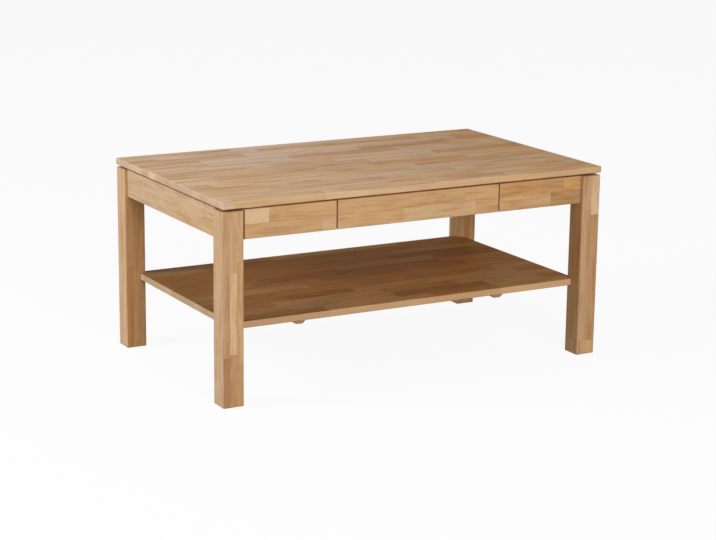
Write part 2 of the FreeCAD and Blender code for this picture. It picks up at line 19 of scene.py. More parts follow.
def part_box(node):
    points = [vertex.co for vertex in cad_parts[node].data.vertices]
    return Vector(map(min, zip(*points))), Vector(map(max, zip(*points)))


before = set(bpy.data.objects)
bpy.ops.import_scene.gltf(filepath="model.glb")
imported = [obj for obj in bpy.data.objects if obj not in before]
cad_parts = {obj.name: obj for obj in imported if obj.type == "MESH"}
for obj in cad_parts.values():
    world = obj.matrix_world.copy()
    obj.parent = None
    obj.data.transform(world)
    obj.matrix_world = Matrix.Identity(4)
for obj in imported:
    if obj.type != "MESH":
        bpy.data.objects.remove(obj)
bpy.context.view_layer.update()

LOG = logging.getLogger("coffee_table")
SIDES = ("left", "right")
ENDS = ("front", "rear")
FULL_TURN = 2 * math.pi
HALF = 0.5

Level = tuple[int, int, int]
Box = tuple[Vector, Vector]
Inputs = dict[str | int, object]
FULL_LEVEL = 255
NO_TINT: Level = (FULL_LEVEL, FULL_LEVEL, FULL_LEVEL)
WHITE = (1.0, 1.0, 1.0, 1.0)


def linear(level: Level) -> tuple[float, float, float, float]:
    """Turn an sRGB level into the linear colour that a shader takes.

    Args:
        level: Red, green and blue from 0 to 255.

    Returns:
        The linear colour with full alpha.
    """
    toe, slope, offset, power = 0.04045, 12.92, 0.055, 2.4
    shares = (channel / FULL_LEVEL for channel in level)
    channels = [s / slope if s <= toe else ((s + offset) / (1 + offset)) ** power for s in shares]
    return (*channels, 1.0)


class Axis(Enum):
    """The axes of the table's frame, by their place in a vector."""

    X = 0
    Y = 1
    Z = 2


class Tone(Enum):
    """The colours that a maker sorts staves into."""

    CREAM = (212, 184, 158)
    PALE = (213, 180, 142)
    STRAW = (210, 173, 129)
    GOLDEN = (205, 164, 118)
    HONEY = (200, 153, 100)
    ROSY = (202, 164, 130)
    FAWN = (197, 157, 117)
    TAN = (187, 145, 100)
    AMBER = (190, 135, 80)
    NUT = (170, 126, 84)
    RUSSET = (172, 122, 74)


class Wire:
    """One value inside a material. Arithmetic on it adds the nodes that work the result out."""

    def __init__(self, tree: bpy.types.NodeTree, socket: bpy.types.NodeSocket) -> None:
        """Hold an output socket of a node tree."""
        self.tree = tree
        self.socket = socket

    def math(self, operation: str, *others: "Wire | float") -> "Wire":
        """Add a math node whose first input is this value.

        Args:
            operation: The math node's operation.
            others: The values for its further inputs.

        Returns:
            The node's result.
        """
        return arithmetic(self.tree, operation, self, *others)

    def __add__(self, other: "Wire | float") -> "Wire":
        """Add a value."""
        return self.math("ADD", other)

    def __sub__(self, other: "Wire | float") -> "Wire":
        """Take a value away."""
        return self.math("SUBTRACT", other)

    def __rsub__(self, other: float) -> "Wire":
        """Take this from a number."""
        return arithmetic(self.tree, "SUBTRACT", other, self)

    def __mul__(self, other: "Wire | float") -> "Wire":
        """Multiply by a value."""
        return self.math("MULTIPLY", other)

    def __truediv__(self, other: "Wire | float") -> "Wire":
        """Divide by a value."""
        return self.math("DIVIDE", other)

    def floor(self) -> "Wire":
        """Round down."""
        return self.math("FLOOR")

    def fraction(self) -> "Wire":
        """Keep what lies past the whole number."""
        return self.math("FRACT")

    def size(self) -> "Wire":
        """Drop the sign."""
        return self.math("ABSOLUTE")

    def least(self, other: "Wire | float") -> "Wire":
        """Take the lesser of two values."""
        return self.math("MINIMUM", other)

    def most(self, other: "Wire | float") -> "Wire":
        """Take the greater of two values."""
        return self.math("MAXIMUM", other)

    def over(self, limit: "Wire | float") -> "Wire":
        """Give 1 above a limit and 0 below it."""
        return self.math("GREATER_THAN", limit)

    def same(self, number: float) -> "Wire":
        """Give 1 where this is that whole number, else 0."""
        return self.math("COMPARE", number, HALF)


def plug(tree: bpy.types.NodeTree, socket: bpy.types.NodeSocket, value: object) -> None:
    """Join a wire to an input, or set the input to a plain value.

    Args:
        tree: The node tree.
        socket: The input.
        value: A wire, a number or a colour.
    """
    if isinstance(value, Wire):
        tree.links.new(value.socket, socket)
    else:
        socket.default_value = value


def arithmetic(tree: bpy.types.NodeTree, operation: str, *values: "Wire | float") -> Wire:
    """Add one math node.

    Args:
        tree: The node tree.
        operation: The math node's operation.
        values: Its inputs in order.

    Returns:
        The node's result.
    """
    node = tree.nodes.new("ShaderNodeMath")
    node.operation = operation
    for socket, value in zip(node.inputs, values):
        plug(tree, socket, value)
    return Wire(tree, node.outputs[0])


class Bench:
    """A material being mixed: its node tree, its surface shader and short calls for the usual nodes."""

    # The colour sockets of a mix node, by their numbers.
    MIX_SHARE, MIX_UNDER, MIX_OVER = 0, 6, 7
    MIX_RESULT = 2

    def __init__(self, name: str) -> None:
        """Start a material with a plain surface shader.

        Args:
            name: The material's name.
        """
        self.material = bpy.data.materials.new(name)
        self.material.use_nodes = True
        self.tree = self.material.node_tree
        self.surface = self.tree.nodes["Principled BSDF"]

    def add(self, kind: str, inputs: Inputs, **settings: object) -> bpy.types.Node:
        """Add a node.

        Args:
            kind: The node's type.
            inputs: Values for its inputs, by the inputs' names or numbers.
            settings: Values for its own properties.

        Returns:
            The node.
        """
        node = self.tree.nodes.new(kind)
        for name, value in settings.items():
            setattr(node, name, value)
        for name, value in inputs.items():
            plug(self.tree, node.inputs[name], value)
        return node

    def read(self, kind: str, output: str | int, inputs: Inputs, **settings: object) -> Wire:
        """Add a node and give one of its outputs, by the output's name or number."""
        return Wire(self.tree, self.add(kind, inputs, **settings).outputs[output])

    def place(self) -> list[Wire]:
        """Give the point's three coordinates in the table's frame."""
        return self.split(self.read("ShaderNodeTexCoord", "Object", {}))

    def facing(self) -> list[Wire]:
        """Give the three parts of the surface's direction."""
        return self.split(self.read("ShaderNodeTexCoord", "Normal", {}))

    def split(self, vector: Wire) -> list[Wire]:
        """Split a vector into its three parts."""
        node = self.add("ShaderNodeSeparateXYZ", {"Vector": vector})
        return [Wire(self.tree, socket) for socket in node.outputs]

    def join(self, x: Wire, y: Wire, z: Wire) -> Wire:
        """Join three values into a vector."""
        return self.read("ShaderNodeCombineXYZ", 0, {"X": x, "Y": y, "Z": z})

    def noise(self, vector: Wire, detail: float, roughness: float, warp: float) -> Wire:
        """Add cloudy noise of scale 1.

        Args:
            vector: Where to read it.
            detail: How many finer octaves it has.
            roughness: How strong those are.
            warp: How far it is pulled about.

        Returns:
            A value around one half.
        """
        look = {"Scale": 1.0, "Detail": detail, "Roughness": roughness, "Distortion": warp}
        return self.read("ShaderNodeTexNoise", "Fac", {"Vector": vector, **look})

    def chances(self, number: Wire) -> list[Wire]:
        """Draw three values from 0 to 1 that depend on a number alone."""
        draw = self.read("ShaderNodeTexWhiteNoise", "Color", {"W": number}, noise_dimensions="1D")
        return self.split(draw)

    def step(self, value: Wire, low: float, high: float) -> Wire:
        """Rise smoothly from 0 at low to 1 at high.

        Args:
            value: What is measured.
            low: Where the rise starts.
            high: Where it ends.

        Returns:
            A value from 0 to 1.
        """
        inputs = {"Value": value, "From Min": low, "From Max": high}
        return self.read("ShaderNodeMapRange", 0, inputs, interpolation_type="SMOOTHSTEP")

    def blend(self, share: Wire, under: object, over: object, mode: str = "MIX") -> Wire:
        """Lay one colour over another.

        Args:
            share: How much of the upper colour shows.
            under: The lower colour.
            over: The upper colour.
            mode: How they mix.

        Returns:
            The mixed colour.
        """
        inputs = {self.MIX_SHARE: share, self.MIX_UNDER: under, self.MIX_OVER: over}
        return self.read("ShaderNodeMix", self.MIX_RESULT, inputs, data_type="RGBA", blend_type=mode)

    def between(self, share: Wire, first: Level, second: Level) -> Wire:
        """Give a colour between two levels."""
        return self.blend(share, linear(first), linear(second))

    def shade(self, colour: Wire, strength: Wire) -> Wire:
        """Make a colour lighter or darker by a factor."""
        return self.read("ShaderNodeVectorMath", 0, {0: colour, "Scale": strength}, operation="SCALE")

    def bands(self, value: Wire, stops: list[tuple[float, Level]]) -> Wire:
        """Pick a colour by a value, with hard steps between colours.

        Args:
            value: From 0 to 1.
            stops: Where each colour starts, in rising order.

        Returns:
            The colour.
        """
        node = self.add("ShaderNodeValToRGB", {"Fac": value})
        ramp = node.color_ramp
        ramp.interpolation = "CONSTANT"
        while len(ramp.elements) < len(stops):
            ramp.elements.new(1.0)
        for element, (start, level) in zip(ramp.elements, stops):
            element.position = start
            element.color = linear(level)
        return Wire(self.tree, node.outputs["Color"])

    def relief(self, height: Wire, depth: float, strength: float) -> Wire:
        """Turn a height into a bumped surface direction.

        Args:
            height: From 0 to 1.
            depth: What 1 stands for, in metres.
            strength: How much of it shows.

        Returns:
            The surface direction.
        """
        inputs = {"Height": height, "Distance": depth, "Strength": strength}
        return self.read("ShaderNodeBump", "Normal", inputs)

    def finish(self, **inputs: object) -> bpy.types.Material:
        """Set the surface shader's inputs, with _ for a blank in their names.

        Args:
            inputs: A wire or a plain value for each input.

        Returns:
            The finished material.
        """
        for name, value in inputs.items():
            plug(self.tree, self.surface.inputs[name.replace("_", " ")], value)
        return self.material


@dataclass(frozen=True)
class Accent:
    """A stave whose tone is given: any point on it, and the tone."""

    along: float
    across: float
    tone: Tone


@dataclass
class Marks:
    """What a point of a board knows about its stave."""

    number: Wire
    glue_distance: Wire
    off_middle: Wire


@dataclass(frozen=True)
class Staves(ABC):
    """How a board is glued up: the way its staves run, the way their rows are stacked, and its own seed."""

    along: Axis
    across: Axis
    seed: float

    # How far the stave numbers of two rows lie apart.
    ROW_STEP = 32
    # How far a board's own faces stand off the next glue line, in rows.
    FACE_MARGIN = 0.06

    def across_rows(self, place: list[Wire], box: Box, rows: int) -> Wire:
        """Measure across the rows, in rows, with the board's own faces kept clear of any glue line.

        Args:
            place: The point in the table's frame.
            box: The board's lowest and highest corners.
            rows: How many rows the board has.

        Returns:
            From just above 0 on the lowest face to just below the number of rows on the highest.
        """
        low, high = (corner[self.across.value] for corner in box)
        scale = (rows - 2 * self.FACE_MARGIN) / (high - low)
        return (place[self.across.value] - low) * scale + self.FACE_MARGIN

    @property
    def through(self) -> Axis:
        """The axis left over, through the board."""
        return next(axis for axis in Axis if axis not in (self.along, self.across))

    @abstractmethod
    def mark(self, place: list[Wire], box: Box) -> Marks:
        """Number the staves and measure to their glue lines."""

    @abstractmethod
    def chosen(self, box: Box) -> dict[int, Tone]:
        """Give the listed tones, by stave number."""


@dataclass(frozen=True)
class RandomStaves(Staves):
    """Rows of staves whose lengths and butt joints differ from row to row, as in board stock."""

    stave_width: float = 0.04
    stave_length: float = 0.26
    accents: tuple[Accent, ...] = ()

    # Steps that spread rows evenly without repeating, for length, start and swing.
    STEPS = (0.618034, 0.754878, 0.569840)
    # What the board's seed adds to each of them.
    SPREADS = (0.137, 0.291, 0.473)
    SHORTEST, LENGTH_SPREAD = 0.8, 0.4
    SWING, SWING_LENGTH = 0.032, 0.37
    # Keeps the count of staves above zero.
    FIRST = 8

    def mark(self, place: list[Wire], box: Box) -> Marks:
        """Number the staves and measure to their glue lines.

        Args:
            place: The point in the table's frame.
            box: The board's lowest and highest corners.

        Returns:
            The point's marks.
        """
        across = self.across_rows(place, box, self.rows(box))
        row = across.floor()
        length, start, swing = (
            (row * step + self.seed * spread).fraction() for step, spread in zip(self.STEPS, self.SPREADS)
        )
        stave = (length * self.LENGTH_SPREAD + self.SHORTEST) * self.stave_length
        run = place[self.along.value] - box[0][self.along.value]
        wave = (run * (FULL_TURN / self.SWING_LENGTH) + swing * FULL_TURN).math("SINE")
        count = (run + wave * self.SWING) / stave + start + self.FIRST
        end = count.fraction()
        side = across.fraction()
        ends = end.least(1 - end) * stave
        sides = side.least(1 - side) * self.stave_width
        off_middle = (side - HALF) * self.stave_width
        return Marks(row * self.ROW_STEP + count.floor(), ends.least(sides), off_middle)

    def rows(self, box: Box) -> int:
        """Count the rows that fit the board."""
        low, high = (corner[self.across.value] for corner in box)
        return round((high - low) / self.stave_width)

    def number_at(self, accent: Accent, box: Box) -> int:
        """Work out the number of the stave that an accent lies on.

        Args:
            accent: The point.
            box: The board's lowest and highest corners.

        Returns:
            The stave's number, as mark() gives it.
        """
        low, high = (corner[self.across.value] for corner in box)
        row = math.floor((accent.across - low) / (high - low) * self.rows(box))
        length, start, swing = (
            math.modf(row * step + self.seed * spread)[0] for step, spread in zip(self.STEPS, self.SPREADS)
        )
        stave = (length * self.LENGTH_SPREAD + self.SHORTEST) * self.stave_length
        run = accent.along - box[0][self.along.value]
        wave = math.sin(run * FULL_TURN / self.SWING_LENGTH + swing * FULL_TURN)
        return row * self.ROW_STEP + math.floor((run + wave * self.SWING) / stave + start + self.FIRST)

    def chosen(self, box: Box) -> dict[int, Tone]:
        """Give the listed tones, by stave number."""
        return {self.number_at(accent, box): accent.tone for accent in self.accents}


@dataclass(frozen=True)
class Stave:
    """One listed stave: where it starts along its row, and its tone."""

    start: float
    tone: Tone


Rows = tuple[tuple[Stave, ...], ...]


@dataclass(frozen=True)
class ListedStaves(Staves):
    """Rows of staves listed one by one, lowest row first."""

    rows: Rows = ()

    def mark(self, place: list[Wire], box: Box) -> Marks:
        """Number the staves and measure to their glue lines.

        Args:
            place: The point in the table's frame.
            box: The board's lowest and highest corners.

        Returns:
            The point's marks.
        """
        low, high = (corner[self.across.value] for corner in box)
        row_width = (high - low) / len(self.rows)
        run = place[self.along.value]
        across = self.across_rows(place, box, len(self.rows))
        row = across.floor()
        side = across.fraction()
        glue = side.least(1 - side) * row_width
        number = row * self.ROW_STEP
        for index, staves in enumerate(self.rows):
            here = row.same(index)
            for stave in staves[1:]:
                number = number + here * run.over(stave.start)
                glue = glue.least((run - stave.start).size() + (1 - here))
        return Marks(number, glue, (side - HALF) * row_width)

    def chosen(self, box: Box) -> dict[int, Tone]:
        """Give every stave's tone.

        Args:
            box: Not used.

        Returns:
            The tones by stave number.
        """
        return {
            index * self.ROW_STEP + place: stave.tone
            for index, staves in enumerate(self.rows)
            for place, stave in enumerate(staves)
        }


@dataclass(frozen=True)
class OnePiece(Staves):
    """A single length of wood, with no glue line."""

    tone: Tone = Tone.STRAW

    # A distance, in metres, past any glue line's reach.
    NO_GLUE = 1.0

    def mark(self, place: list[Wire], box: Box) -> Marks:
        """Give the whole piece one number.

        Args:
            place: The point in the table's frame.
            box: The piece's lowest and highest corners.

        Returns:
            The point's marks.
        """
        off_middle = place[self.across.value] - box[0][self.across.value]
        nothing = off_middle * 0
        return Marks(nothing, nothing + self.NO_GLUE, off_middle)

    def chosen(self, box: Box) -> dict[int, Tone]:
        """Give the piece's tone."""
        return {0: self.tone}


@dataclass(frozen=True)
class Speckle:
    """A noise fixed to the table: cells to the metre by axis, octaves, their strength, and warp."""

    scale: tuple[float, float, float]
    detail: float
    roughness: float = 0.5
    warp: float = 0.0

    def draw(self, bench: Bench, place: list[Wire]) -> Wire:
        """Give the noise at a point, around one half."""
        vector = bench.join(*(part * scale for part, scale in zip(place, self.scale)))
        return bench.noise(vector, self.detail, self.roughness, self.warp)


@dataclass(frozen=True)
class Figure:
    """A noise drawn out along the grain: its cells' size, octaves, their strength, and warp."""

    length: float
    width: float
    detail: float
    roughness: float = 0.5
    warp: float = 0.0

    # How far apart two staves can read the noise, in cells.
    STAVE_JUMP = 37.0

    def draw(self, bench: Bench, run: list[Wire], chance: list[Wire]) -> Wire:
        """Give the noise at a point, different from stave to stave.

        Args:
            bench: The material.
            run: The point along, across and through the board.
            chance: The stave's draws.

        Returns:
            A value around one half.
        """
        parts = [part / reach for part, reach in zip(run, (self.length, self.width, self.width))]
        vector = bench.join(*(part + draw * self.STAVE_JUMP for part, draw in zip(parts, chance)))
        return bench.noise(vector, self.detail, self.roughness, self.warp)


@dataclass(frozen=True)
class Grain:
    """How the wood has grown: rings round a far-off pith, broad streaks, fibres and short rays."""

    ring_gap: float = 0.0036
    ring_wander: float = 0.008
    wander: Figure = Figure(0.22, 0.030, 2.0)
    streak: Figure = Figure(0.10, 0.010, 3.0, 0.55, 0.3)
    fibre: Figure = Figure(0.040, 0.0011, 3.0, 0.6)
    ray: Figure = Figure(0.0085, 0.0011, 1.0)

    PITH_SPREAD = 0.16
    PITH_NEAR, PITH_FAR = 0.015, 0.11
    TAPER = 0.05
    # The narrowest ring, in ring gaps, and the share of a year in which its late wood fades out.
    NARROWEST = 0.6
    FADE = 0.12

    def rings(self, bench: Bench, run: list[Wire], off_middle: Wire, chance: list[Wire]) -> Wire:
        """Give the growth rings, dark towards the end of each year.

        Args:
            bench: The material.
            run: The point along, across and through the board.
            off_middle: How far the point is from the stave's middle.
            chance: The stave's draws.

        Returns:
            From 0 for early wood to 1 for late wood.
        """
        along, _, through = run
        aside = off_middle - (chance[0] - HALF) * self.PITH_SPREAD
        below = through + chance[1] * self.PITH_FAR + self.PITH_NEAR
        radius = (aside * aside + below * below).math("SQRT")
        wander = self.wander.draw(bench, run, chance)
        radius = radius + wander * self.ring_wander + along * (chance[2] - HALF) * self.TAPER
        year = (radius / (chance[2] * self.ring_gap + self.ring_gap * self.NARROWEST)).fraction()
        return year * year * bench.step(1 - year, 0.0, self.FADE)


@dataclass
class Spot:
    """A point of a board: its place, its run along, across and through the board, its stave, its facing."""

    place: list[Wire]
    run: list[Wire]
    marks: Marks
    grain_draws: list[Wire]
    tone_draws: list[Wire]
    end: Wire
    narrow: Wire


@dataclass(frozen=True)
class WoodFinish:
    """A finish on solid wood: how strongly each feature shows, painted light and shade among them, and how
    the surface shines.
    """

    mix: tuple[tuple[float, Tone], ...]
    grain: Grain = Grain()
    level_spread: float = 0.10
    streak_share: float = 0.62
    ring_share: float = 0.12
    ray_share: float = 0.38
    fibre_share: float = 0.30
    # Painted light and shade: tones for the narrow faces, paler where they are lit, warmer where they lie
    # in shade.
    side_light_shade_share: float = 0.0
    side_light_shade_tones: tuple[Tone, Tone] = (Tone.PALE, Tone.STRAW)
    end_share: float = 0.60
    end_tones: tuple[Level, Level] = ((168, 127, 88), (148, 109, 72))
    # Painted light: narrow faces drawn in lighter tones than the broad faces, as the light falls on them.
    narrow_face_light_share: float = 0.0
    narrow_face_light_tones: tuple[Level, Level] = ((212, 178, 140), (200, 164, 124))
    glue_share: float = 0.35
    # Painted shade in patches along the edges, with rubbed wear.
    edge_shade_share: float = 0.0
    # Painted shade: how dark a board is drawn within a few millimetres of its low and high ends, where it
    # meets a leg.
    low_end_shade_share: float = 0.0
    high_end_shade_share: float = 0.0
    level: float = 1.0
    # Painted shade: a tint that darkens the board towards its left end.
    left_shade_tint: Level = NO_TINT
    # Painted shade: a tint that darkens and warms the board towards its right end.
    right_shade_tint: Level = NO_TINT
    roughness: float = 0.56
    specular: float = 0.12
    relief: float = 0.25

    STREAK_TINT = (214, 190, 164)
    RING_TINT = (226, 206, 184)
    RAY_TINT = (194, 162, 132)
    FIBRE_TINT = (230, 216, 200)
    # The colour of the painted shade at a board's ends beside a leg.
    END_SHADE_TINT = (144, 102, 68)
    GLUE_TINT = (150, 112, 80)
    # The colour of the painted shade along the edges.
    EDGE_SHADE_TINT = (176, 138, 104)

    # What turns a stave's number into its draws for the grain and for the tone.
    GRAIN_DRAW = 0.731
    TONE_DRAW, TONE_START = 0.417, 5.3

    # Where each feature starts and where it is full, as a share of its noise or of the facing.
    FACING_LIMITS = (0.55, 0.92)
    STREAK_LIMITS = (0.42, 0.72)
    FIBRE_LIMITS = (0.40, 0.75)
    RAY_LIMITS = (0.60, 0.72)
    RUB = Speckle((45.0, 45.0, 45.0), 3.0, 0.6)
    RUB_LIMITS = (0.20, 0.55)

    # Reaches in metres: of a glue line, of the painted shade and rub along an edge, of the painted shade at
    # a board's ends and of the painted shade on the left.
    GLUE_LINE = 0.0005
    EDGE_SHADE_REACH = 0.0030
    END_SHADE_REACH = (0.0045, 0.0065)
    LEFT_SHADE_REACH = (0.12, 0.42)

    # What each feature adds to the roughness, or takes from it.
    FIBRE_DULL = 0.16
    RAY_DULL = 0.10
    END_DULL = 0.10
    EDGE_RUB_SHINE = 0.08

    # How deep each feature lies, as a share of the relief's depth in metres.
    RAY_DEPTH = 0.55
    FIBRE_DEPTH = 0.30
    GLUE_DEPTH = 0.5
    RELIEF_DEPTH = 0.0006

    def look_up(self, bench: Bench, staves: Staves, box: Box) -> Spot:
        """Work out what a point of a board knows about itself.

        Args:
            bench: The material.
            staves: How the board is glued up.
            box: The board's lowest and highest corners.

        Returns:
            The point.
        """
        place = bench.place()
        facing = bench.facing()
        marks = staves.mark(place, box)
        end, narrow = (
            bench.step(facing[axis.value].size(), *self.FACING_LIMITS)
            for axis in (staves.along, staves.across)
        )
        return Spot(
            place=place,
            run=[place[axis.value] for axis in (staves.along, staves.across, staves.through)],
            marks=marks,
            grain_draws=bench.chances(marks.number * self.GRAIN_DRAW + staves.seed),
            tone_draws=bench.chances(marks.number * self.TONE_DRAW + staves.seed + self.TONE_START),
            end=end,
            narrow=narrow,
        )

    def stave_colour(self, bench: Bench, spot: Spot, chosen: dict[int, Tone]) -> Wire:
        """Give the bare wood's colour, with painted light and shade on the narrow faces where the finish
        asks for it.

        Args:
            bench: The material.
            spot: The point.
            chosen: The listed tones, by stave number.

        Returns:
            The stave's tone, or on a narrow face the painted light and shade of the sides.
        """
        pick, level, side_light_shade_pick = spot.tone_draws
        colour = bench.bands(pick, [(start, tone.value) for start, tone in self.mix])
        for number, tone in chosen.items():
            colour = bench.blend(spot.marks.number.same(number), colour, linear(tone.value))
        # Painted light and shade on the narrow faces.
        side = bench.between(side_light_shade_pick, *(tone.value for tone in self.side_light_shade_tones))
        colour = bench.blend(spot.narrow * self.side_light_shade_share, colour, side)
        return bench.shade(colour, level * self.level_spread + (self.level - self.level_spread * HALF))

    def edge_shade_and_rub(self, bench: Bench, place: list[Wire], box: Box) -> Wire:
        """Give the darker, shinier patches along the edges: painted shade on the rounded edges, with rubbed
        wear.

        Args:
            bench: The material.
            place: The point in the table's frame.
            box: The board's lowest and highest corners.

        Returns:
            From 0 away from the board's edges to 1 where an edge is drawn darkest and rubbed most.
        """
        x, y, z = ((part - low).least(high - part) for part, low, high in zip(place, *box))
        # On a face, the nearest edge is as far as the middle one of the distances to the board's faces.
        edge = x.least(y).most(x.most(y).least(z))
        rub = self.RUB.draw(bench, place)
        return (1 - bench.step(edge, 0.0, self.EDGE_SHADE_REACH)) * bench.step(rub, *self.RUB_LIMITS)

    def lengthwise(self, bench: Bench, spot: Spot, along: Axis, box: Box) -> list[tuple[Wire, Level]]:
        """Give the painted shade that depends on how far along the board a point is.

        Args:
            bench: The material.
            spot: The point.
            along: The way the staves run.
            box: The board's lowest and highest corners.

        Returns:
            A share and a tint each for the painted shade towards the left, the painted shade towards the
            right and the painted shade at both ends.
        """
        low, high = box
        x = spot.place[Axis.X.value]
        # Painted shade towards the left end.
        left = 1 - bench.step(x, *(low.x + reach for reach in self.LEFT_SHADE_REACH))
        # Painted shade towards the right end.
        right = bench.step(x, low.x, high.x)
        from_ends = (spot.run[0] - low[along.value], high[along.value] - spot.run[0])
        # Painted shade at both ends, where the board meets a leg.
        low_end_shade, high_end_shade = (1 - bench.step(distance, *self.END_SHADE_REACH) for distance in from_ends)
        return [
            (left, self.left_shade_tint),
            (right * right, self.right_shade_tint),
            (low_end_shade * self.low_end_shade_share, self.END_SHADE_TINT),
            (high_end_shade * self.high_end_shade_share, self.END_SHADE_TINT),
        ]

    def make(self, name: str, staves: Staves, box: Box) -> bpy.types.Material:
        """Mix the material for one board.

        Args:
            name: The material's name.
            staves: How the board is glued up.
            box: The board's lowest and highest corners.

        Returns:
            The material.
        """
        bench = Bench(name)
        spot = self.look_up(bench, staves, box)
        where = (bench, spot.run, spot.grain_draws)
        streaks = self.grain.streak.draw(*where)
        rings = self.grain.rings(bench, spot.run, spot.marks.off_middle, spot.grain_draws)
        fibres = self.grain.fibre.draw(*where)
        rays = bench.step(self.grain.ray.draw(*where), *self.RAY_LIMITS)
        glue = 1 - bench.step(spot.marks.glue_distance, 0.0, self.GLUE_LINE)
        edge_shade_and_rub = self.edge_shade_and_rub(bench, spot.place, box)

        colour = self.stave_colour(bench, spot, staves.chosen(box))
        layers = [
            (bench.step(streaks, *self.STREAK_LIMITS) * self.streak_share, self.STREAK_TINT),
            (rings * self.ring_share, self.RING_TINT),
            (bench.step(fibres, *self.FIBRE_LIMITS) * self.fibre_share, self.FIBRE_TINT),
            (rays * self.ray_share, self.RAY_TINT),
            (glue * self.glue_share, self.GLUE_TINT),
            (edge_shade_and_rub * self.edge_shade_share, self.EDGE_SHADE_TINT),
        ]
        for share, tint in layers + self.lengthwise(bench, spot, staves.along, box):
            colour = bench.blend(share, colour, linear(tint), "MULTIPLY")
        cut_pick = spot.tone_draws[2]
        # Painted light on the narrow faces, then the end grain's own tone on the ends.
        narrow_face_light_tone = bench.between(cut_pick, *self.narrow_face_light_tones)
        end_tone = bench.between(cut_pick, *self.end_tones)
        colour = bench.blend(spot.narrow * self.narrow_face_light_share, colour, narrow_face_light_tone)
        colour = bench.blend(spot.end * self.end_share, colour, end_tone)

        dull = fibres * self.FIBRE_DULL + rays * self.RAY_DULL + spot.end * self.END_DULL
        smooth = self.roughness - self.FIBRE_DULL * HALF
        height = 1 - rays * self.RAY_DEPTH - fibres * self.FIBRE_DEPTH - glue * self.GLUE_DEPTH
        return bench.finish(
            Base_Color=colour,
            Roughness=dull - edge_shade_and_rub * self.EDGE_RUB_SHINE + smooth,
            Normal=bench.relief(height, self.RELIEF_DEPTH, self.relief),
            Specular_IOR_Level=self.specular,
        )


OILED = WoodFinish(
    mix=(
        (0.00, Tone.PALE),
        (0.16, Tone.STRAW),
        (0.50, Tone.GOLDEN),
        (0.76, Tone.ROSY),
        (0.88, Tone.TAN),
        (0.96, Tone.NUT),
    ),
    # Painted shade with rubbed wear in patches on the legs' edges.
    edge_shade_share=0.35,
    level=0.97,
    specular=0.35,
)
TOP = replace(
    OILED,
    # Paler tones and a higher level than the other boards: partly painted sheen on the top.
    mix=((0.00, Tone.CREAM), (0.36, Tone.PALE), (0.60, Tone.STRAW), (0.84, Tone.ROSY)),
    level=1.045,
    grain=Grain(streak=Figure(0.18, 0.017, 3.0, 0.55, 0.3)),
    level_spread=0.07,
    streak_share=0.85,
    end_share=0.80,
    end_tones=((216, 190, 164), (190, 160, 134)),
    # Painted light on the top's front and back faces.
    narrow_face_light_share=0.60,
    edge_shade_share=0.0,
    specular=0.12,
    # Painted shade: the top drawn darker and warmer towards its right end.
    right_shade_tint=(236, 220, 190),
)
RAIL = replace(
    OILED,
    level=0.98,
    # Painted light on the rails' top and bottom faces, which lightens the shadow gap under the top.
    narrow_face_light_share=0.90,
    narrow_face_light_tones=((238, 192, 136), (232, 186, 130)),
    edge_shade_share=0.0,
    specular=0.12,
)
CALM = replace(
    RAIL,
    mix=((0.0, Tone.STRAW), (0.5, Tone.PALE)),
    level_spread=0.05,
    level=0.92,
    narrow_face_light_share=0.0,
    # Painted shade at both ends, beside the legs.
    low_end_shade_share=0.35,
    high_end_shade_share=0.35,
    specular=0.35,
)
# The shelf is drawn in darker, browner tones than the other boards: painted shade, for the shade it lies in
# under the top.
SHELF = replace(
    OILED,
    mix=((0.00, Tone.AMBER), (0.70, Tone.HONEY), (0.84, Tone.TAN)),
    level_spread=0.06,
    level=1.02,
    end_share=0.90,
    end_tones=((208, 180, 148), (194, 164, 130)),
    # Painted light on the shelf's front and back faces.
    narrow_face_light_share=0.75,
    narrow_face_light_tones=((210, 170, 128), (188, 152, 116)),
    # Painted shade: the shelf drawn darker towards its left end.
    left_shade_tint=(204, 205, 206),
    specular=0.01,
    edge_shade_share=0.0,
)
BATTEN = replace(
    SHELF,
    end_share=0.85,
    end_tones=((208, 164, 130), (200, 156, 122)),
    narrow_face_light_share=0.0,
    left_shade_tint=NO_TINT,
)
PLANED = WoodFinish(mix=((0.0, Tone.STRAW),), roughness=0.62)


def dress(node: str, material: bpy.types.Material) -> None:
    """Give a node of the construction its finish.

    Args:
        node: The node's name.
        material: The finish.
    """
    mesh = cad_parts[node].data
    mesh.materials.clear()
    mesh.materials.append(material)
    LOG.info("%s: %s", node, material.name)


def dress_board(node: str, finish: WoodFinish, staves: Staves) -> None:
    """Give a board its wood.

    Args:
        node: The board's name.
        finish: The finish on it.
        staves: How it is glued up.
    """
    dress(node, finish.make(node + "_wood", staves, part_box(node)))


